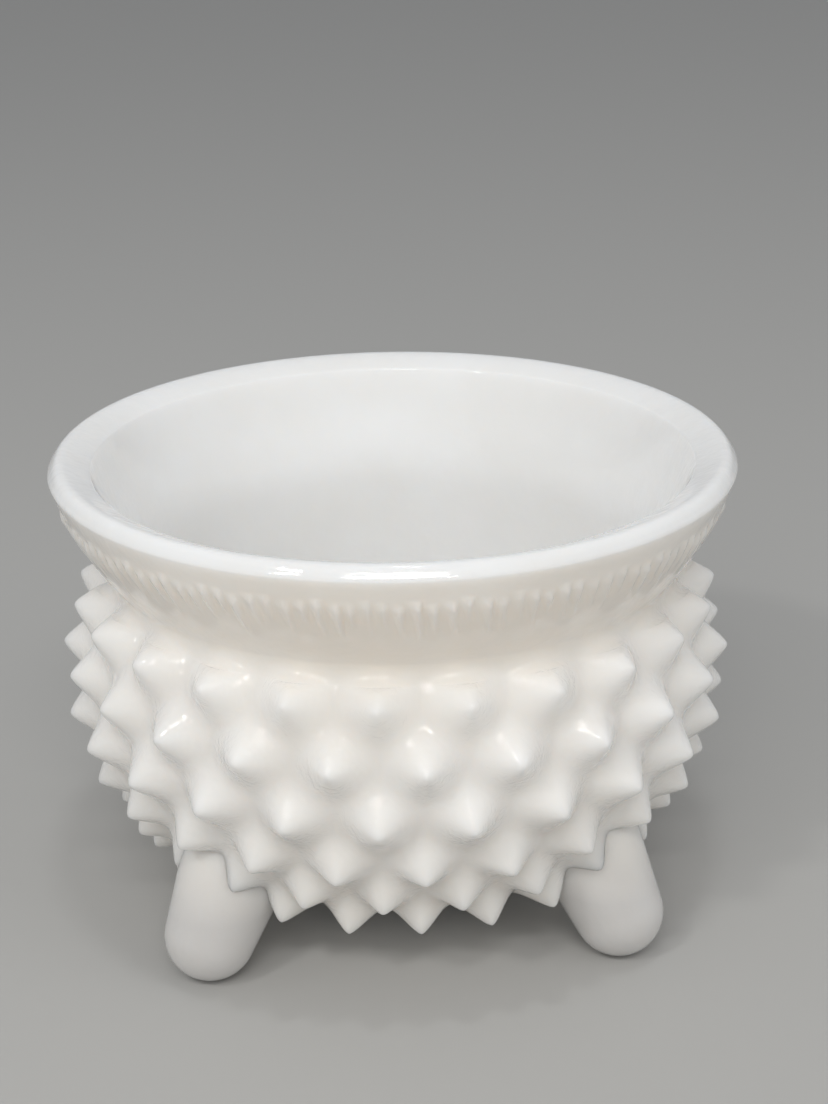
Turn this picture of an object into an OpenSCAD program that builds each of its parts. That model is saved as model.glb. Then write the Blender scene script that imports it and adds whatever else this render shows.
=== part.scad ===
// Open footed jar of pressed milk glass: thick rolled lip, flared plain collar,
// a round body covered in six staggered rows of pointed knobs, and four stub feet.
// Origin: on the jar's axis, on the plane its feet stand on.  +Z up, -Y is the front.
// Every length is in millimetres.

/* [Overall] */
// outer diameter of the lip, the widest place
rim_d = 114; // [90:1:150]
// height of the widest line of the lip above the table
rim_z = 77.2; // [74:0.2:84]

/* [Lip] */
// thickness of the lip, measured across the radius
lip_w = 7.1; // [5.5:0.1:8.5]
// how far the lip rises above its widest line
lip_rise = 2.05; // [1.6:0.05:3]
// radius of the lip's rounded outer edge
lip_round = 2.1; // [1.6:0.1:2.6]

/* [Collar] */
// height of the crease where the collar meets the body
crease_z = 58.6; // [56.5:0.1:60.5]
// how far the collar's side bulges out from a straight cone
collar_bulge = 1; // [0.2:0.1:2.5]

/* [Body] */
// height of the body's widest line
belly_z = 41; // [40:0.5:43]
// radius of the body between the knobs at its widest line
belly_r = 50.9; // [49.9:0.1:52]
// radius of the curve above the widest line, seen in section
shoulder_curve = 38; // [36:0.1:44]
// radius of the curve below the widest line, seen in section
under_curve = 36.4; // [35.8:0.1:37.4]
// least height of the flat underside above the table
under_gap = 5.4; // [5:0.1:7]
// radius of the inside at its straight part
bore_r = 43; // [40:0.5:44.5]
// thickness of the glass floor
floor_t = 5.8; // [4:0.1:8]

/* [Knobs] */
// knobs in each row
knobs = 24; // [16:4:24]
// knob height above the body
knob_h = 6.05; // [4:0.05:6.5]
// half angle of a knob's cone, degrees
knob_half_angle = 41; // [34:1:42]
// radius of the rounded knob tip
knob_tip_r = 0.8; // [0.4:0.1:1.2]

/* [Feet] */
// radius of the rounded end of a foot
foot_r = 7.5; // [6.5:0.1:8.5]
// distance from the jar's axis to the centre of a foot's rounded end
foot_c = 47.5; // [44:0.5:50]
// lean of a foot, degrees from upright
foot_lean = 32; // [26:0.5:38]
// half angle by which a foot widens upward, degrees
foot_flare = 7.2; // [3:0.1:9]
// depth of the small flat each foot stands on
foot_flat = 0.25; // [0.1:0.05:0.5]

/* [Hidden] */
$fn = 96;
rim_r = rim_d / 2;
pitch = 360 / knobs;
// the two section curves meet at the widest line with a shared upright tangent
up_c = belly_r - shoulder_curve;
dn_c = belly_r - under_curve;
// the underside is flat where the lower curve reaches it
under_z = max(under_gap, belly_z - under_curve);
under_a = asin((belly_z - under_z) / under_curve);
// the collar starts where the upper curve reaches the crease
crease_a = asin((crease_z - belly_z) / shoulder_curve);
crease_r = up_c + shoulder_curve * cos(crease_a);
// lip section: the body of the lip is a bead whose bottom sits on the collar
lip_base_z = rim_z - 2.2;
lip_base_r = rim_r - 0.9;
lip_in_r = rim_r - lip_w;
throat_r = bore_r;
// soft ridge inside, a little below the lip: the wall grows steeper under it
ridge_z = rim_z - 5.8;
ridge_r = lip_in_r - 2.4;
// inner corner of the lip, and where the sloping flank below it passes the lip's base
corner_z = rim_z - 0.4;
flank_r = ridge_r + 2.4 * (lip_base_z - ridge_z) / (corner_z - ridge_z);
bore_bottom_z = under_z + floor_t;
bore_curve = 31;
bore_arc_z = bore_bottom_z + bore_curve;
// knob rows: one angle on the section curve each, measured up from level,
// and whether the row is turned by half a pitch
row_angle = [19.5, 6.5, -7.2, -21.4, -33.8, -44.5];
row_shift = [0.5, 0, 0.5, 0, 0.5, 0];
// glass on which a row stands
function row_c(i) = row_angle[i] > 0 ? up_c : dn_c;
function row_k(i) = row_angle[i] > 0 ? shoulder_curve : under_curve;
function row_r(i) = row_c(i) + row_k(i) * cos(row_angle[i]);
function row_z(i) = belly_z + row_k(i) * sin(row_angle[i]);
// knobs of the lower rows are lower and slimmer because the rows run closer together there
function row_tall(i) = [0.98, 1.02, 1, 0.88, 0.8, 0.92][i];
function row_slim(i) = [1, 1, 1, 0.95, 0.95, 0.86][i];
foot_az = [-45, 45, -135, 135];
foot_cz = foot_r - foot_flat;

function arc_pts(cx, cz, r, a0, a1, n) =
    [for (i = [0:n]) let (a = a0 + (a1 - a0) * i / n) [cx + r * cos(a), cz + r * sin(a)]];

// straight line between two points bowed outward by b, as a list of points
function bowed(p, q, b, n) =
    let (d = q - p, l = norm(d), u = [d[1], -d[0]] / l)
    [for (i = [0:n]) let (t = i / n) p + d * t + u * b * 4 * t * (1 - t)];

// outside of the body from the crease down to the underside, without knobs
function body_outside() = concat(
    arc_pts(up_c, belly_z, shoulder_curve, crease_a, 0, 12),
    [for (p = arc_pts(dn_c, belly_z, under_curve, 0, -under_a, 24)) if (p[1] < belly_z) p]);

// outside of the collar from the crease up to the lip
function collar_outside() =
    bowed([crease_r, crease_z], [lip_base_r, lip_base_z], collar_bulge, 12);

function bore_side() = concat(
    [[0, bore_bottom_z]],
    arc_pts(bore_r - bore_curve, bore_arc_z, bore_curve, -90, 0, 24));

module bowl_wall() color("ivory") rotate_extrude($fn = 144)
    polygon(concat(bore_side(), [[throat_r, crease_z]], body_outside(), [[0, under_z]]));

module collar() color("wheat") rotate_extrude($fn = 144)
    polygon(concat(
        [[throat_r, crease_z]], collar_outside(),
        [[flank_r, lip_base_z], [ridge_r, ridge_z]]));

// lip: rounded outer edge, and a top that slopes gently down to a firm inner corner
module lip_ring() color("white") rotate_extrude($fn = 144)
    polygon(concat(
        [[flank_r, lip_base_z], [lip_base_r, lip_base_z]],
        [for (a = [-48:8:112])
            [rim_r - lip_round + lip_round * cos(a), rim_z + lip_rise * sin(a)]],
        [[lip_in_r + 0.5, rim_z + 0.25], [lip_in_r + 0.15, rim_z],
         [lip_in_r, corner_z]]));

// one knob, standing on the origin along +Z, its cone carried down below the glass
module knob(tall, slim) {
    w = knob_half_angle;
    sz = knob_h * tall - knob_tip_r;
    top = sz + knob_tip_r * sin(w);
    len = top + 1.2;
    rb = knob_tip_r * cos(w) + len * tan(w) * slim;
    translate([0, 0, -1.2]) cylinder(r1 = rb, r2 = knob_tip_r * cos(w), h = len, $fn = 40);
    translate([0, 0, sz]) sphere(r = knob_tip_r, $fn = 24);
}

// the same knob run up to a sharp point: the room a foot leaves for it
module knob_room(tall, slim) {
    w = atan(tan(knob_half_angle) * slim);
    apex = knob_h * tall - knob_tip_r + knob_tip_r / sin(w);
    translate([0, 0, -1.2])
        cylinder(r1 = (apex + 1.2) * tan(w), r2 = 0, h = apex + 1.2, $fn = 40);
}

// puts a knob at its place k in row i
module at_knob(i, k) rotate([0, 0, (k + row_shift[i]) * pitch])
    translate([0, -row_r(i), row_z(i)]) rotate([90 - row_angle[i], 0, 0]) children();

// body and collar filled in: what knobs and feet are cut back to
module body_core() rotate_extrude($fn = 144)
    polygon(concat([[0, lip_base_z]],
                   [for (i = [12:-1:1]) collar_outside()[i]], body_outside(),
                   [[0, under_z]]));

// the knob on a foot's own line is left out: the foot grows from that place
function on_foot(i, k) = i == 5 && ((k + row_shift[i]) * pitch - 45) % 90 == 0;

module knob_row(i) color("ivory")
    for (k = [0:knobs - 1]) if (!on_foot(i, k)) difference() {
        at_knob(i, k) knob(row_tall(i), row_slim(i));
        body_core();
    }

module knob_row_1() knob_row(0);
module knob_row_2() knob_row(1);
module knob_row_3() knob_row(2);
module knob_row_4() knob_row(3);
module knob_row_5() knob_row(4);
module knob_row_6() knob_row(5);

// rounded club: a ball at the foot's end and a cone widening up into the body
module foot_solid() {
    b = foot_flare;
    len = 26;
    translate([0, -foot_c, foot_cz]) rotate([-foot_lean, 0, 0]) {
        sphere(r = foot_r, $fn = 72);
        translate([0, 0, -foot_r * sin(b)])
            cylinder(r1 = foot_r * cos(b), r2 = foot_r * cos(b) + len * tan(b), h = len,
                     $fn = 72);
    }
}

module foot(az) color("gainsboro") difference() {
    rotate([0, 0, az]) foot_solid();
    body_core();
    // the floor plane
    translate([0, 0, -20]) cylinder(r = 90, h = 20);
    for (i = [4:5], k = [0:knobs - 1])
        if (!on_foot(i, k) && abs(((k + row_shift[i]) * pitch - az + 540) % 360 - 180) < 20)
            at_knob(i, k) knob_room(row_tall(i), row_slim(i));
}

module foot_front_left() foot(foot_az[0]);
module foot_front_right() foot(foot_az[1]);
module foot_rear_left() foot(foot_az[2]);
module foot_rear_right() foot(foot_az[3]);

bowl_wall();
collar();
lip_ring();
knob_row_1();
knob_row_2();
knob_row_3();
knob_row_4();
knob_row_5();
knob_row_6();
foot_front_left();
foot_front_right();
foot_rear_left();
foot_rear_right();
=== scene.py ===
"""Visual model of an open, footed jar of pressed milk glass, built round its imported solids.

The jar is one pressing, so its lining, lip, fluted collar and knobbed body are one unbroken
skin of glass; the four stub feet are pieces of their own.  Everything is in metres, +Z up, the
feet stand on z = 0 and -Y is the front.  Azimuths are measured from -Y towards +X.
"""

import math

import bpy
import numpy as np
from mathutils import Matrix, Vector


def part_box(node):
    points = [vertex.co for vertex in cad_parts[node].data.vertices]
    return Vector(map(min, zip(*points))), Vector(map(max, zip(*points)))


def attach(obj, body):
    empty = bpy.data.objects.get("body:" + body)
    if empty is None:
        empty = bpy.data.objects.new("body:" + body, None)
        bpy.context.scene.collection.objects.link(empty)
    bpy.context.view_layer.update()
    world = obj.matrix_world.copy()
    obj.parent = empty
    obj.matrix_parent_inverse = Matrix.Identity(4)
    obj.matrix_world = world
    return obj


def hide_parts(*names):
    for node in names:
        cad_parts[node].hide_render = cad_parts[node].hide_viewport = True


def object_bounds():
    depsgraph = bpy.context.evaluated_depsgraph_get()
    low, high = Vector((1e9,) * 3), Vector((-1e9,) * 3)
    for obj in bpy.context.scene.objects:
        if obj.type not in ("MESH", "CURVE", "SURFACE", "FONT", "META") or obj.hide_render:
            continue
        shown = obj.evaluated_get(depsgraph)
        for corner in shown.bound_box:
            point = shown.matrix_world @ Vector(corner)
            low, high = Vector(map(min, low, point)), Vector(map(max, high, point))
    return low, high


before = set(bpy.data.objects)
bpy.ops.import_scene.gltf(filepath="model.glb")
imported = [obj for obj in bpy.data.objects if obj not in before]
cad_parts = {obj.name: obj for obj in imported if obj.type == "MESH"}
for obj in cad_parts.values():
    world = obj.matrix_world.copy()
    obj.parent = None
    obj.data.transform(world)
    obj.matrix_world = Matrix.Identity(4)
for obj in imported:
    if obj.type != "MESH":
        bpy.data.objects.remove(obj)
cad_low, cad_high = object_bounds()

MM = 0.001

# ---------------------------------------------------------------- sizes
# The boxes of the solids place everything, and most other sizes follow the solids' dimensions.
# The knobs here are a little wider and sharper than the solids' (42 degrees against 41, and 0.6 mm
# against 0.8), and the bevel, fillets and flutes are only here.

lip_low, lip_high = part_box("lip_ring")
collar_low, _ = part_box("collar")
wall_low, wall_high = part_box("bowl_wall")

RIM_R = min(lip_high[0], lip_high[1], -lip_low[0], -lip_low[1])
TOP_Z = lip_high[2]
LIP_BASE_Z = lip_low[2]
CREASE_Z = collar_low[2]
UNDER_Z = wall_low[2]
BELLY_R = wall_high[0]

# section of the body: two arcs that meet upright at the widest line, and a flat underside
SHOULDER_CURVE = 38.0 * MM
UNDER_CURVE = 36.4 * MM
BELLY_Z = 41.0 * MM
SHOULDER_C = BELLY_R - SHOULDER_CURVE
UNDER_C = BELLY_R - UNDER_CURVE
UNDER_END = -math.asin((BELLY_Z - UNDER_Z) / UNDER_CURVE)
UNDER_FLAT_R = UNDER_C + UNDER_CURVE * math.cos(UNDER_END)
CREASE_ANGLE = math.asin((CREASE_Z - BELLY_Z) / SHOULDER_CURVE)

# lip: a rounded outer edge, a top that slopes in to a firm corner, and a flank below it
LIP_W = 7.1 * MM
LIP_RISE = 2.05 * MM
LIP_ROUND = 2.1 * MM
LIP_BEVEL = 0.5
LIP_EDGE_START = math.radians(112)
BEVEL_FROM = math.radians(80)
BEVEL_SPAN = math.radians(50)
LIP_Z = TOP_Z - LIP_RISE
LIP_IN_R = RIM_R - LIP_W
CORNER_Z = LIP_Z - 0.4 * MM
SLOPE_FOOT = (LIP_IN_R + 0.5 * MM, LIP_Z + 0.25 * MM)
RIDGE_R = LIP_IN_R - 2.4 * MM
RIDGE_Z = LIP_Z - 5.8 * MM

# collar
COLLAR_TOP_R = RIM_R - 0.9 * MM
COLLAR_BULGE = 1.0 * MM
CREASE_ROUND = 2.4 * MM
CREASE_PULL = 0.55
COLLAR_LEAN = 0.5
LIP_TURN_IN = (-0.28, -1)
SIDE_END_Z = LIP_BASE_Z - 1.0 * MM

# inside
BORE_R = 43 * MM
THROAT_DROP = 1.6 * MM
THROAT_LOW_PULL = 6 * MM
THROAT_HIGH_PULL = 5 * MM
FLOOR_T = 5.8 * MM
BORE_CURVE = 31 * MM
BORE_BOTTOM_Z = UNDER_Z + FLOOR_T
BORE_ARC_Z = BORE_BOTTOM_Z + BORE_CURVE

# knobs: six rows, the angle of each on the section curve, and its turn in pitches
KNOBS = 24
ROW_ANGLES = (19.5, 6.5, -7.2, -21.4, -33.8, -44.5)
ROW_TURNS = (0.5, 0.0, 0.5, 0.0, 0.5, 0.0)
ROW_HEIGHTS = (0.98, 1.02, 1.0, 0.88, 0.8, 0.92)
ROW_SLIMNESS = (1.0, 1.0, 1.0, 0.95, 0.95, 0.86)
KNOB_H = 6.05 * MM
KNOB_HALF_ANGLE = math.radians(42)
KNOB_TIP = 0.6 * MM
KNOB_FILLET = 1.05 * MM
KNOB_LEAN = 0.02
KNOB_DROOP = 0.015
KNOB_UNEVEN = 0.015
KNOBS_END = math.radians(-60)
KNOBS_TOP_Z = CREASE_Z + 4.0 * MM
KNOBS_FADE = 3.2 * MM

# feet
FOOT_AZIMUTHS = {"foot_front_left": -45, "foot_front_right": 45,
                 "foot_rear_right": 135, "foot_rear_left": -135}
FOOT_R = 7.5 * MM
FOOT_C = 47.5 * MM
FOOT_LEAN = math.radians(32)
FOOT_FLARE = math.radians(7.2)
FOOT_FLAT = 0.25 * MM
FOOT_ROOT = 1.6 * MM
FOOT_FILLET = 0.9 * MM
FOOT_LONGEST = 40 * MM
FOOT_COLUMNS = 96

# collar flutes: uneven slanting wedges under the lip, each tapering down to a point
FLUTES = 138
FLUTE_HEIGHT = 0.95 * MM
FLUTE_TOP_Z = SIDE_END_Z
FLUTE_END_Z = FLUTE_TOP_Z - 10.5 * MM
FLUTE_START = 1.5 * MM
FLUTE_LENGTH = 7.2 * MM
FLUTE_SLANT = 0.22 / MM

# fineness of the mesh: columns round the jar, and steps down the body's section
BODY_COLUMNS = KNOBS * 20
FLUTE_COLUMNS = BODY_COLUMNS * 2
LIP_COLUMNS = BODY_COLUMNS // 2
LINING_COLUMNS = BODY_COLUMNS // 4
KNOB_SQUEEZE = 0.6
FINE_STEP = 0.31 * MM
COARSE_STEP = 0.95 * MM

# colours, linear.  The collar's and the feet's are darker than the glass itself: they are painted
# shade from one view of the jar, so both look too dark from other sides.  The low tint is painted
# shade that darkens the underside and the tops of the feet, and the warmth of the collar and of
# the lip's side below its widest line is painted warm shade too.
BODY_TINT = (0.88, 0.86, 0.83)
LOW_SHADE_TINT = (0.82, 0.79, 0.745)
LIP_TINT = (0.86, 0.86, 0.855)
COLLAR_SHADE_TINT = (0.89, 0.835, 0.765)
EDGE_SHADE_TINT = (0.89, 0.85, 0.80)
FOOT_SHADE_TINT = (0.61, 0.597, 0.583)
CLOUD_TINT = (0.965, 0.96, 0.95)
CLEAR_TINT = (1, 1, 1)

# how the glass scatters and shines
SCATTER_WEIGHT = 0.9
SCATTER_SPREAD = (1.0, 0.93, 0.86)
SCATTER_REACH = 6.0 * MM
COAT_IOR = 1.5
COAT_ROUGHNESS = 0.06
LINING_REACH = 44 * MM
LINING_EDGE = 2 * MM
LINING_ROUGHNESS = 0.22

# scales of the noise in the glass, and depths of its waves
CLOUD_SCALE = 42
GLOSS_SCALE = 110
SWELL_SCALE = 260
SWELL_DEPTH = 0.35 * MM
RIPPLE_SCALE = 800
RIPPLE_DEPTH = 0.08 * MM
PATCH_SCALE = 90
WRINKLE_SCALE = 520
WRINKLE_DEPTH = 0.4 * MM
WRINKLE_STRENGTH = 0.75

# studio
FLOOR_TINT = (0.46, 0.455, 0.44)
FLOOR_HALF = 4.0
FLOOR_ROUGHNESS = 0.75
SKY_TINT = (0.95, 0.97, 1.0)
SKY_POWER = 0.41
LAMP_TINT = (1.0, 0.99, 0.97)
CEILING_TINT = (0.95, 0.98, 1.0)
LAMP_DISTANCE = 1.1
FILL_DISTANCE = 1.3

# viewpoint of the photograph
LENS = 64.3
CAMERA_AZIMUTH = -4.3
CAMERA_DISTANCE = 312.8 * MM
CAMERA_HEIGHT = 182.4 * MM
CAMERA_YAW = 0.61
CAMERA_PITCH = 21.47
CAMERA_ROLL = -0.74
LOOK_AT = Vector((0, 0, (cad_low[2] + cad_high[2]) / 2))


# ---------------------------------------------------------------- mesh helpers

def around(count, squeeze=0.0):
    """Azimuths of count columns round the jar, drawn closer together at the knobs by squeeze."""
    a = np.arange(count) * (2 * math.pi / count)
    return a - squeeze * np.sin(2 * KNOBS * a) / (2 * KNOBS)


def ring(r, z, azimuths):
    """Points of one ring; r and z are numbers or arrays as long as azimuths."""
    r = np.broadcast_to(r, azimuths.shape)
    z = np.broadcast_to(z, azimuths.shape)
    return np.stack([r * np.sin(azimuths), -r * np.cos(azimuths), z], axis=1)


def bridge(faces, a, na, b, nb):
    """Faces between ring a of na points and ring b of nb points, one twice the other or equal."""
    if na == nb:
        for j in range(na):
            k = (j + 1) % na
            faces.append((a + j, b + j, b + k, a + k))
        return
    fine, n_fine, coarse, n_coarse = (a, na, b, nb) if na > nb else (b, nb, a, na)
    for j in range(n_coarse):
        k = (j + 1) % n_coarse
        f0, f1, f2 = fine + 2 * j, fine + 2 * j + 1, fine + (2 * j + 2) % n_fine
        made = ((f0, coarse + j, f1), (f1, coarse + j, coarse + k), (f1, coarse + k, f2))
        for face in made:
            faces.append(face if na > nb else face[::-1])


def fan(faces, pole, a, na, flip):
    """Triangles from one point to a ring."""
    for j in range(na):
        face = (pole, a + j, a + (j + 1) % na)
        faces.append(face[::-1] if flip else face)


def skin(name, rings):
    """A smooth-shaded closed piece from a list of rings that starts and ends with a pole, a ring
    of one point.  Rings run up the inside, over the top and down the outside."""
    starts = np.cumsum([0] + [len(r) for r in rings])
    faces = []
    for i in range(len(rings) - 1):
        j = i + 1
        ni, nj = len(rings[i]), len(rings[j])
        if ni == 1:
            fan(faces, starts[i], starts[j], nj, flip=False)
        elif nj == 1:
            fan(faces, starts[j], starts[i], ni, flip=True)
        else:
            bridge(faces, starts[i], ni, starts[j], nj)
    mesh = bpy.data.meshes.new(name)
    mesh.from_pydata(np.concatenate(rings).tolist(), [], [[int(v) for v in f] for f in faces])
    mesh.polygons.foreach_set("use_smooth", [True] * len(mesh.polygons))
    mesh.update()
    piece = bpy.data.objects.new(name, mesh)
    bpy.context.scene.collection.objects.link(piece)
    return piece


def spaced(a, b, step):
    """Numbers from a to b, ends included, about step apart."""
    return np.linspace(a, b, max(2, int(round(abs(b - a) / step)) + 1))


def bezier(p0, p1, p2, p3, count):
    """A cubic curve as count points."""
    t = np.linspace(0, 1, count)[:, None]
    u = 1 - t
    return (u ** 3 * np.array(p0) + 3 * u * u * t * np.array(p1)
            + 3 * u * t * t * np.array(p2) + t ** 3 * np.array(p3))


def unit(v):
    """A vector of length one."""
    return np.array(v) / np.linalg.norm(v)


def section_normals(line):
    """Normals along a section line that runs with the glass on its right-hand side."""
    d = np.gradient(line, axis=0)
    d /= np.linalg.norm(d, axis=1)[:, None]
    return np.stack([-d[:, 1], d[:, 0]], axis=1)


# ---------------------------------------------------------------- section lines, as (r, z)
# Inner lines run upward and outer lines run downward, so the glass is always to their right.

def section_point(angle):
    """Point and outward normal of the body's section at an angle up from level."""
    c, k = (SHOULDER_C, SHOULDER_CURVE) if angle > 0 else (UNDER_C, UNDER_CURVE)
    n = np.array((math.cos(angle), math.sin(angle)))
    return np.array((c, BELLY_Z)) + k * n, n


def between(line, low, high):
    """The part of a section line between two heights."""
    return line[(line[:, 1] > low) & (line[:, 1] <= high)]


def inner_line():
    """The inside, from the straight bore up the throat, ridge and flank to the lip's corner."""
    ridge, corner = np.array((RIDGE_R, RIDGE_Z)), np.array((LIP_IN_R, CORNER_Z))
    slope = unit(corner - ridge)
    low = np.array((BORE_R, CREASE_Z - THROAT_DROP))
    throat = bezier(low, low + (0, THROAT_LOW_PULL), ridge - THROAT_HIGH_PULL * slope, ridge, 24)
    flank = ridge + np.linspace(0, 1, 16)[1:, None] * (corner - ridge)
    return np.concatenate([throat, flank])


def collar_line():
    """The outside from the lip's widest line down the collar to the crease, without flutes."""
    crease, top = section_point(CREASE_ANGLE)[0], np.array((COLLAR_TOP_R, LIP_BASE_Z))
    along = crease - top
    side = np.array((-along[1], along[0])) / np.linalg.norm(along)
    t = np.linspace(0, 1, 46)[:, None]
    collar = between(top + along * t + side * COLLAR_BULGE * 4 * t * (1 - t), 0, SIDE_END_Z)
    heading = unit(collar[0] - collar[1])
    widest = np.array((RIM_R, LIP_Z))
    join = bezier(widest, widest + unit(LIP_TURN_IN) * 1.0 * MM,
                  collar[0] + heading * 1.0 * MM, collar[0], 14)
    return np.concatenate([join[:-1], collar])


INNER_LINE = inner_line()
COLLAR_LINE = collar_line()


# ---------------------------------------------------------------- body with its knobs

def knob_list():
    """Base point, axis, height and slope of every knob but those whose place a foot takes.
    Small made-up differences in lean and height keep the knobs from being identical."""
    knobs = []
    for row, (angle_deg, turn) in enumerate(zip(ROW_ANGLES, ROW_TURNS)):
        (r, z), (nr, nz) = section_point(math.radians(angle_deg))
        for k in range(KNOBS):
            azimuth = (k + turn) * 360 / KNOBS
            if row == len(ROW_ANGLES) - 1 and (azimuth - 45) % 90 == 0:
                continue
            a = math.radians(azimuth)
            odd = math.sin(12.9 * k + 4.1 * row)
            base = np.array((r * math.sin(a), -r * math.cos(a), z))
            axis = unit((nr * math.sin(a) + KNOB_LEAN * odd, -nr * math.cos(a),
                         nz - KNOB_DROOP * odd))
            uneven = 1 - KNOB_UNEVEN + KNOB_UNEVEN * math.sin(7.7 * k + 2.3 * row)
            height = KNOB_H * ROW_HEIGHTS[row] * uneven
            slope = 1 / (math.tan(KNOB_HALF_ANGLE) * ROW_SLIMNESS[row])
            knobs.append((base, axis, height, slope))
    return knobs


def knob_relief(points):
    """How far the knobs lift the body at points on its smooth surface: cones with small round
    tips, blended where they run into each other and into the body."""
    total = np.ones(len(points))
    for base, axis, height, slope in knob_list():
        v = points - base
        near = (v * v).sum(axis=1) < (3 * KNOB_H) ** 2
        v = v[near]
        along = v @ axis
        across = np.sqrt(np.maximum((v * v).sum(axis=1) - along * along, 0))
        cone = height - slope * (np.hypot(across, KNOB_TIP) - KNOB_TIP) - along
        total[near] += np.exp(cone / KNOB_FILLET)
    return KNOB_FILLET * np.log(total)


def body_angles():
    """Angles down the body's section, close together across each row's tips."""
    rows = np.radians(ROW_ANGLES)
    angle = CREASE_ANGLE - CREASE_ROUND / SHOULDER_CURVE
    angles = []
    while angle > KNOBS_END:
        angles.append(angle)
        curve = SHOULDER_CURVE if angle > 0 else UNDER_CURVE
        away = np.abs(rows - angle).min() * curve
        angle -= (FINE_STEP + (COARSE_STEP - FINE_STEP) * min(1, away / (3 * MM))) / curve
    return angles


def crease_fillet(start, heading):
    """A soft inside curve from the collar into the body's shoulder."""
    end, (nr, nz) = section_point(CREASE_ANGLE - CREASE_ROUND / SHOULDER_CURVE)
    reach = CREASE_PULL * CREASE_ROUND
    return bezier(start, start + heading * reach, end - np.array((nz, -nr)) * reach, end, 14)


# ---------------------------------------------------------------- lining, lip and collar

def lining_rings():
    """From the middle of the floor up the inside to the lip's inner corner."""
    rings = [np.array([[0, 0, BORE_BOTTOM_Z]])]
    flat_r = BORE_R - BORE_CURVE
    for share, r in ((8, 0.2), (4, 0.5), (2, 1.0)):
        rings.append(ring(flat_r * r, BORE_BOTTOM_Z, around(LINING_COLUMNS // share)))
    columns = around(LINING_COLUMNS)
    for angle in spaced(-math.pi / 2, 0, 1.5 * MM / BORE_CURVE)[1:]:
        r = flat_r + BORE_CURVE * math.cos(angle)
        rings.append(ring(r, BORE_ARC_Z + BORE_CURVE * math.sin(angle), columns))
    for z in spaced(BORE_ARC_Z, INNER_LINE[0, 1], 2 * MM)[1:-1]:
        rings.append(ring(BORE_R, z, columns))
    return rings + [ring(r, z, columns) for r, z in INNER_LINE]


def lip_rings():
    """Firm inner corner, sloping top, and an outer edge flattened above its widest line."""
    angles = spaced(LIP_EDGE_START, 0, math.radians(4))
    flatter = 1 + LIP_BEVEL * np.clip((BEVEL_FROM - angles) / BEVEL_SPAN, 0, 1)
    across = np.sign(np.cos(angles)) * np.abs(np.cos(angles)) ** flatter
    up = np.sin(angles) ** flatter
    edge = np.stack([RIM_R + LIP_ROUND * (across - 1), LIP_Z + LIP_RISE * up], axis=1)
    foot, flank_top = np.array(SLOPE_FOOT), INNER_LINE[-1]
    rise, out = unit(flank_top - INNER_LINE[-2]), unit(edge[0] - foot)
    corner = bezier(flank_top, flank_top + rise * 0.4 * MM, foot - out * 0.35 * MM, foot, 7)
    top = bezier(foot, foot + out * 1.2 * MM, edge[0] - unit(edge[1] - edge[0]) * 1.2 * MM,
                 edge[0], 9)
    profile = np.concatenate([corner[1:-1], top, edge[1:]])
    return [ring(r, z, around(LIP_COLUMNS)) for r, z in profile]


def flute_relief(azimuths, z):
    """Height of the collar's flutes: uneven slanting wedges, sharp on one side."""
    wander = 0.9 * np.sin(5 * azimuths + 0.7) + 0.7 * np.sin(13 * azimuths + 2.1)
    phase = FLUTES * azimuths + wander - FLUTE_SLANT * (FLUTE_TOP_Z - z)
    turn = (phase / (2 * math.pi)) % 1
    flute = np.floor(phase / (2 * math.pi))
    steep = 0.26 + 0.1 * np.sin(3.7 * flute)
    crest = np.minimum(turn / (1 - steep), (1 - turn) / steep)
    top = FLUTE_TOP_Z - 0.5 * MM * (1 + np.sin(1.9 * flute + 1))
    tip = top - FLUTE_LENGTH * (1 + 0.2 * np.sin(2.4 * flute) + 0.1 * np.sin(5.1 * flute))
    hang = np.clip((top - z) / (top - tip), 0, 1)
    strength = 0.72 + 0.2 * np.sin(azimuths - 3.9) + 0.2 * np.sin(7.3 * flute)
    raised = np.clip(crest - hang, 0, 1)
    return FLUTE_HEIGHT * strength * raised * np.clip((top - z) / FLUTE_START, 0, 1)


def collar_rings():
    """The side below the lip's widest line, and the fluted band."""
    side = between(COLLAR_LINE, FLUTE_TOP_Z, TOP_Z)[1:]
    rings = [ring(r, z, around(BODY_COLUMNS)) for r, z in side]
    columns = around(FLUTE_COLUMNS)
    for r, z in between(COLLAR_LINE, FLUTE_END_Z, FLUTE_TOP_Z):
        rings.append(ring(r + flute_relief(columns, z), z, columns))
    return rings


# ---------------------------------------------------------------- the body's outside

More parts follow.
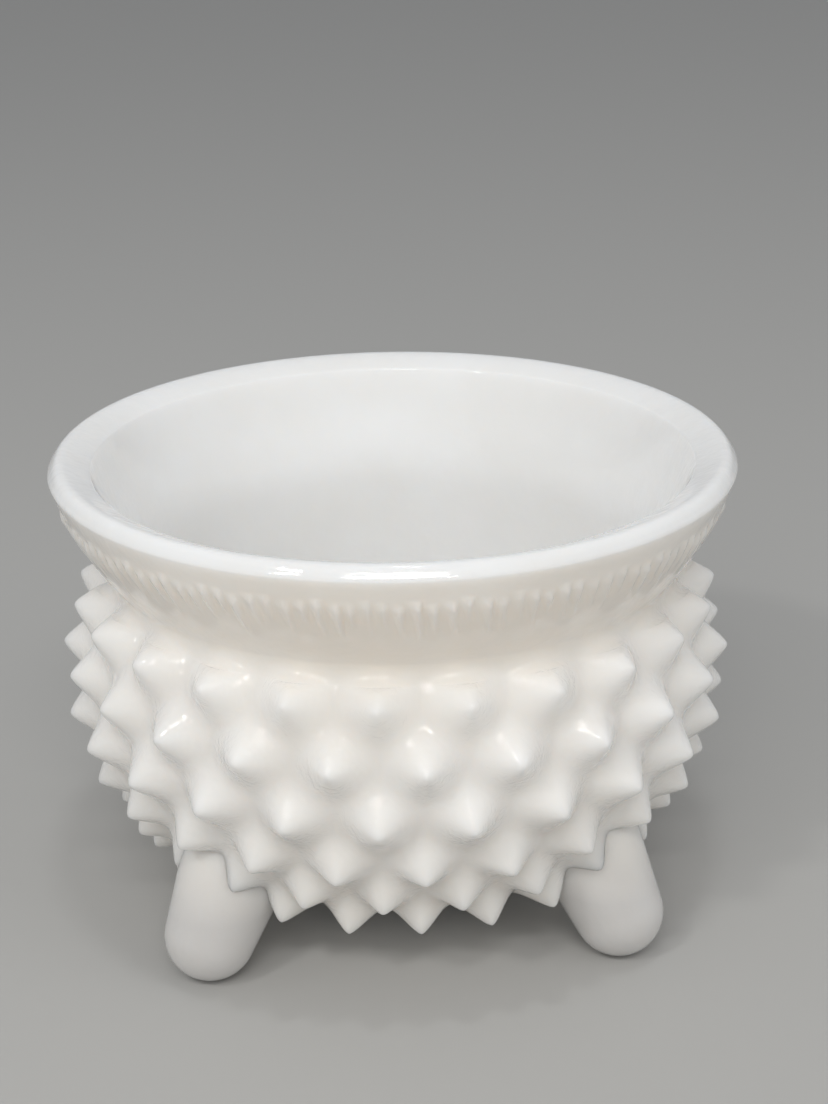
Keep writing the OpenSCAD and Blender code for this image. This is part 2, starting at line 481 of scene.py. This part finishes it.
def body_rings():
    """Plain lower collar, soft crease, knobbed body, and the flat underside."""
    neck = between(COLLAR_LINE, 0, FLUTE_END_Z)
    neck = neck[np.linalg.norm(neck - COLLAR_LINE[-1], axis=1) > CREASE_ROUND]
    fillet = crease_fillet(neck[-1], unit(neck[-1] - neck[-2]))
    neck = np.concatenate([neck, fillet[1:-1]])
    arc = [section_point(angle) for angle in body_angles()]
    line = np.concatenate([neck, [p for p, _ in arc]])
    normals = np.concatenate([section_normals(line)[:len(neck)], [n for _, n in arc]])
    rings = []
    for i, ((r, z), (nr, nz)) in enumerate(zip(line, normals)):
        columns = around(BODY_COLUMNS, KNOB_SQUEEZE * min(1, i / len(neck)))
        smooth = ring(r, z, columns)
        fade = min(1, max(0, (KNOBS_TOP_Z - z) / KNOBS_FADE))
        lift = fade * fade * (3 - 2 * fade) * knob_relief(smooth)
        rings.append(smooth + ring(nr, nz, columns) * lift[:, None])

    count, squeeze = BODY_COLUMNS, KNOB_SQUEEZE
    for angle in spaced(KNOBS_END, UNDER_END, 1.2 * MM / UNDER_CURVE)[1:]:
        count, squeeze = max(count // 2, LINING_COLUMNS), squeeze * 0.6
        (r, z), _ = section_point(angle)
        rings.append(ring(r, z, around(count, squeeze)))
    for share, r in ((1, 0.97), (2, 0.7), (4, 0.4), (8, 0.16)):
        rings.append(ring(UNDER_FLAT_R * r, UNDER_Z, around(LINING_COLUMNS // share)))
    rings.append(np.array([[0, 0, UNDER_Z]]))
    return rings


# ---------------------------------------------------------------- feet

def outside_body(points):
    """How far points lie outside the smooth body; less than nothing inside it."""
    r = np.hypot(points[:, 0], points[:, 1])
    z = points[:, 2]
    curved = np.hypot(np.maximum(r - UNDER_C, 0), z - BELLY_Z) - UNDER_CURVE
    return np.where(z < BELLY_Z, curved, r - BELLY_R)


def make_foot(name, azimuth):
    """A ball end and a cone that widens up into the body, ending inside its glass."""
    a = math.radians(azimuth)
    out = np.array((math.sin(a), -math.cos(a), 0.0))
    side = np.array((math.cos(a), math.sin(a), 0.0))
    up = np.array((0.0, 0.0, 1.0))
    axis = up * math.cos(FOOT_LEAN) - out * math.sin(FOOT_LEAN)
    cross = out * math.cos(FOOT_LEAN) + up * math.sin(FOOT_LEAN)
    centre = out * FOOT_C + up * (FOOT_R - FOOT_FLAT)
    turn = around(FOOT_COLUMNS)
    radial = np.outer(np.cos(turn), cross) + np.outer(np.sin(turn), side)

    rings = [(centre - axis * FOOT_R)[None, :]]
    for lat in spaced(-math.pi / 2, -FOOT_FLARE, math.radians(4))[1:]:
        rings.append(centre + radial * FOOT_R * math.cos(lat) + axis * FOOT_R * math.sin(lat))

    # each side line of the cone runs on until it is well inside the body's glass
    along = radial * math.sin(FOOT_FLARE) + axis * math.cos(FOOT_FLARE)
    start = rings[-1]
    low, high = np.zeros(FOOT_COLUMNS), np.full(FOOT_COLUMNS, FOOT_LONGEST)
    for _ in range(30):
        middle = (low + high) / 2
        outside = outside_body(start + along * middle[:, None]) > -FOOT_ROOT
        low, high = np.where(outside, middle, low), np.where(outside, high, middle)
    for t in np.linspace(0, 1, 34)[1:]:
        p = start + along * (low * t)[:, None]
        away = np.maximum(outside_body(p), 0)
        rings.append(p + radial * (FOOT_FILLET * np.exp(-away / FOOT_FILLET))[:, None])
    rings.append(rings[-1].mean(axis=0)[None, :])
    for points in rings:
        points[:, 2] = np.maximum(points[:, 2], 0)
    return skin(name, rings[::-1])


# ---------------------------------------------------------------- glass

def glass_material(name, tints_and_shade, inside_r=0.0, crinkle=0.0):
    """Opaque white glass: light scatters inside it, and its surface is faintly wavy.  The tints
    are pairs of height and colour for the outside, and the darker or warmer of them are painted
    shade.  The lining, which lies within inside_r of the bore's middle and leans out with the
    collar, has the lip's tint and no crinkle."""
    mat = bpy.data.materials.new(name)
    mat.use_nodes = True
    tree = mat.node_tree
    shader = tree.nodes["Principled BSDF"]
    where = tree.nodes.new("ShaderNodeTexCoord").outputs["Object"]

    def noise(scale, detail, rough=0.5, twist=0.0):
        node = tree.nodes.new("ShaderNodeTexNoise")
        node.inputs["Scale"].default_value = scale
        node.inputs["Detail"].default_value = detail
        node.inputs["Roughness"].default_value = rough
        node.inputs["Distortion"].default_value = twist
        tree.links.new(where, node.inputs["Vector"])
        return node.outputs["Fac"]

    def ramp(factor, stops):
        node = tree.nodes.new("ShaderNodeValToRGB")
        elements = node.color_ramp.elements
        while len(elements) < len(stops):
            elements.new(0.5)
        for element, (position, colour) in zip(elements, stops):
            element.position = position
            element.color = (*colour, 1)
        tree.links.new(factor, node.inputs["Fac"])
        return node.outputs["Color"]

    def graded(value, low, high, to_low=0.0, to_high=1.0):
        node = tree.nodes.new("ShaderNodeMapRange")
        node.inputs["From Min"].default_value = low
        node.inputs["From Max"].default_value = high
        node.inputs["To Min"].default_value = to_low
        node.inputs["To Max"].default_value = to_high
        tree.links.new(value, node.inputs["Value"])
        return node.outputs["Result"]

    def sum_up(operation, a, b):
        node = tree.nodes.new("ShaderNodeMath")
        node.operation = operation
        tree.links.new(a, node.inputs[0])
        if isinstance(b, float):
            node.inputs[1].default_value = b
        else:
            tree.links.new(b, node.inputs[1])
        return node.outputs["Value"]

    def blend(kind, factor, a, b):
        node = tree.nodes.new("ShaderNodeMix")
        node.data_type = "RGBA"
        node.blend_type = kind
        if isinstance(factor, float):
            node.inputs[0].default_value = factor
        else:
            tree.links.new(factor, node.inputs[0])
        for value, socket in ((a, node.inputs[6]), (b, node.inputs[7])):
            if isinstance(value, tuple):
                socket.default_value = (*value, 1)
            else:
                tree.links.new(value, socket)
        return node.outputs[2]

    def bump(height, strength, distance, after=None):
        node = tree.nodes.new("ShaderNodeBump")
        node.inputs["Strength"].default_value = strength
        node.inputs["Distance"].default_value = distance
        tree.links.new(height, node.inputs["Height"])
        if after:
            tree.links.new(after, node.inputs["Normal"])
        return node.outputs["Normal"]

    split = tree.nodes.new("ShaderNodeSeparateXYZ")
    tree.links.new(where, split.inputs["Vector"])
    below = sum_up("MINIMUM", sum_up("SUBTRACT", split.outputs["Z"], BORE_ARC_Z), 0.0)
    joined = tree.nodes.new("ShaderNodeCombineXYZ")
    tree.links.new(split.outputs["X"], joined.inputs["X"])
    tree.links.new(split.outputs["Y"], joined.inputs["Y"])
    tree.links.new(below, joined.inputs["Z"])
    reach = tree.nodes.new("ShaderNodeVectorMath")
    reach.operation = "LENGTH"
    tree.links.new(joined.outputs["Vector"], reach.inputs[0])
    lean = graded(split.outputs["Z"], KNOBS_TOP_Z, TOP_Z,
                  0.0, COLLAR_LEAN * (TOP_Z - KNOBS_TOP_Z))
    upright = sum_up("SUBTRACT", reach.outputs["Value"], lean)
    outside = graded(upright, inside_r, inside_r + LINING_EDGE)

    level = graded(split.outputs["Z"], 0.0, TOP_Z)
    # colour by height up the outside; the darker and warmer stops paint shade onto the glass
    tint_and_shade_by_height = ramp(level, [(z / TOP_Z, colour_and_shade) for z, colour_and_shade in tints_and_shade])
    clouds = ramp(noise(CLOUD_SCALE, 3), [(0.35, CLOUD_TINT), (0.65, CLEAR_TINT)])
    colour_and_shade = blend("MIX", outside, LIP_TINT, tint_and_shade_by_height)
    tree.links.new(blend("MULTIPLY", 1.0, colour_and_shade, clouds), shader.inputs["Base Color"])
    gloss = graded(noise(GLOSS_SCALE, 4), 0.0, 1.0, 0.04, 0.12)
    tree.links.new(sum_up("ADD", gloss, graded(outside, 0.0, 1.0, LINING_ROUGHNESS, 0.0)),
                   shader.inputs["Roughness"])

    swell = bump(noise(SWELL_SCALE, 2), 0.35, SWELL_DEPTH)
    tree.links.new(swell, shader.inputs["Normal"])
    skin_normal = bump(noise(RIPPLE_SCALE, 2), 0.3, RIPPLE_DEPTH, swell)
    if crinkle:
        # patchy wrinkles on the outside below the crease, in the glossy coat only
        patches = graded(noise(PATCH_SCALE, 2), 0.35, 0.55)
        upper = graded(split.outputs["Z"], CREASE_Z + 1 * MM, CREASE_Z - 2 * MM)
        wrinkles = sum_up("MULTIPLY", noise(WRINKLE_SCALE, 3, 0.6, 1.5), outside)
        wrinkles = sum_up("MULTIPLY", sum_up("MULTIPLY", wrinkles, patches), upper)
        skin_normal = bump(wrinkles, crinkle, WRINKLE_DEPTH, skin_normal)
    tree.links.new(skin_normal, shader.inputs["Coat Normal"])

    # the gloss is all in the coat, so that wrinkles don't roughen the white below it
    shader.inputs["Specular IOR Level"].default_value = 0.0
    shader.inputs["Coat Weight"].default_value = 1.0
    shader.inputs["Coat IOR"].default_value = COAT_IOR
    shader.inputs["Coat Roughness"].default_value = COAT_ROUGHNESS
    shader.inputs["Subsurface Weight"].default_value = SCATTER_WEIGHT
    shader.inputs["Subsurface Radius"].default_value = SCATTER_SPREAD
    shader.inputs["Subsurface Scale"].default_value = SCATTER_REACH
    return mat


def dress(piece, material, *nodes):
    """Puts a piece on the jar's one body in place of its solids, with its finish."""
    piece.data.materials.append(material)
    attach(piece, "root")
    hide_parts(*nodes)


# painted shade in the stops: darker towards the underside, warm beige on the collar and on the
# lip's side below its widest line
jar_white = glass_material("milk_glass", [(UNDER_Z + 8 * MM, LOW_SHADE_TINT),
                                          (BELLY_Z, BODY_TINT),
                                          (CREASE_Z - 2 * MM, BODY_TINT),
                                          (KNOBS_TOP_Z, COLLAR_SHADE_TINT),
                                          (FLUTE_TOP_Z - 4 * MM, COLLAR_SHADE_TINT),
                                          (FLUTE_TOP_Z, EDGE_SHADE_TINT),
                                          (LIP_Z - 0.5 * MM, EDGE_SHADE_TINT),
                                          (LIP_Z + 0.3 * MM, LIP_TINT)],
                           inside_r=LINING_REACH, crinkle=WRINKLE_STRENGTH)
# painted shade: the feet darken towards their ends
foot_white = glass_material("milk_glass_foot", [(12 * MM, FOOT_SHADE_TINT), (22 * MM, LOW_SHADE_TINT)])

knob_rows = [f"knob_row_{i + 1}" for i in range(len(ROW_ANGLES))]
jar_rings = lining_rings() + lip_rings() + collar_rings() + body_rings()
dress(skin("jar_glass", jar_rings), jar_white, "bowl_wall", "collar", "lip_ring", *knob_rows)
for foot_name, foot_azimuth in FOOT_AZIMUTHS.items():
    dress(make_foot(foot_name + "_glass", foot_azimuth), foot_white, foot_name)


# ---------------------------------------------------------------- floor, light, camera

def make_floor():
    """A plain pale floor."""
    half = FLOOR_HALF
    mesh = bpy.data.meshes.new("floor")
    corners = [(-half, -half, 0), (half, -half, 0), (half, half, 0), (-half, half, 0)]
    mesh.from_pydata(corners, [], [(0, 1, 2, 3)])
    mat = bpy.data.materials.new("floor_pale")
    mat.use_nodes = True
    shader = mat.node_tree.nodes["Principled BSDF"]
    shader.inputs["Base Color"].default_value = (*FLOOR_TINT, 1)
    shader.inputs["Roughness"].default_value = FLOOR_ROUGHNESS
    mesh.materials.append(mat)
    floor = bpy.data.objects.new("floor", mesh)
    bpy.context.scene.collection.objects.link(floor)


def around_jar(azimuth, elevation, distance):
    """A place seen from the jar at an azimuth and elevation in degrees."""
    a, e = math.radians(azimuth), math.radians(elevation)
    return LOOK_AT + distance * Vector((math.sin(a) * math.cos(e), -math.cos(a) * math.cos(e),
                                        math.sin(e)))


def soft_light(name, azimuth, elevation, distance, size, power, colour, glint=True):
    """A rectangular lamp aimed at the jar; without glint it is not mirrored in the glass."""
    lamp = bpy.data.lights.new(name, "AREA")
    lamp.shape = "RECTANGLE"
    lamp.size, lamp.size_y = size
    lamp.energy = power
    lamp.color = colour
    holder = bpy.data.objects.new(name, lamp)
    bpy.context.scene.collection.objects.link(holder)
    holder.visible_glossy = glint
    holder.location = around_jar(azimuth, elevation, distance)
    holder.rotation_mode = "QUATERNION"
    holder.rotation_quaternion = (LOOK_AT - holder.location).to_track_quat("-Z", "Y")


def make_world():
    """Even surrounding light."""
    world = bpy.data.worlds.new("studio")
    world.use_nodes = True
    background = world.node_tree.nodes["Background"]
    background.inputs["Color"].default_value = (*SKY_TINT, 1)
    background.inputs["Strength"].default_value = SKY_POWER
    bpy.context.scene.world = world


def make_camera():
    """The photograph's viewpoint: above the mouth, a little to the left of the front."""
    camera = bpy.data.cameras.new("camera")
    camera.sensor_width = 36
    camera.lens = LENS
    holder = bpy.data.objects.new("camera", camera)
    bpy.context.scene.collection.objects.link(holder)
    a = math.radians(CAMERA_AZIMUTH)
    holder.location = (CAMERA_DISTANCE * math.sin(a), -CAMERA_DISTANCE * math.cos(a),
                       CAMERA_HEIGHT)
    heading = Matrix.Rotation(a - math.radians(CAMERA_YAW), 4, "Z")
    tilt = Matrix.Rotation(math.pi / 2 - math.radians(CAMERA_PITCH), 4, "X")
    roll = Matrix.Rotation(math.radians(CAMERA_ROLL), 4, "Z")
    holder.rotation_mode = "QUATERNION"
    holder.rotation_quaternion = (heading @ tilt @ roll).to_quaternion()
    bpy.context.scene.camera = holder


make_floor()
make_world()
# name, azimuth, elevation, distance, size, power, colour
soft_light("key", -20, 38, LAMP_DISTANCE, (0.9, 0.6), 3.7, LAMP_TINT, glint=False)
soft_light("window", -2, 46, LAMP_DISTANCE, (0.45, 0.03), 1.6, LAMP_TINT)
soft_light("side_window", -44, 44, LAMP_DISTANCE, (0.12, 0.07), 1.4, LAMP_TINT)
soft_light("ceiling", 8, 82, LAMP_DISTANCE, (0.08, 0.05), 0.9, CEILING_TINT)
soft_light("fill", 55, 26, FILL_DISTANCE, (0.7, 0.6), 1.9, LAMP_TINT, glint=False)
make_camera()
bpy.context.scene.view_settings.view_transform = "Standard"
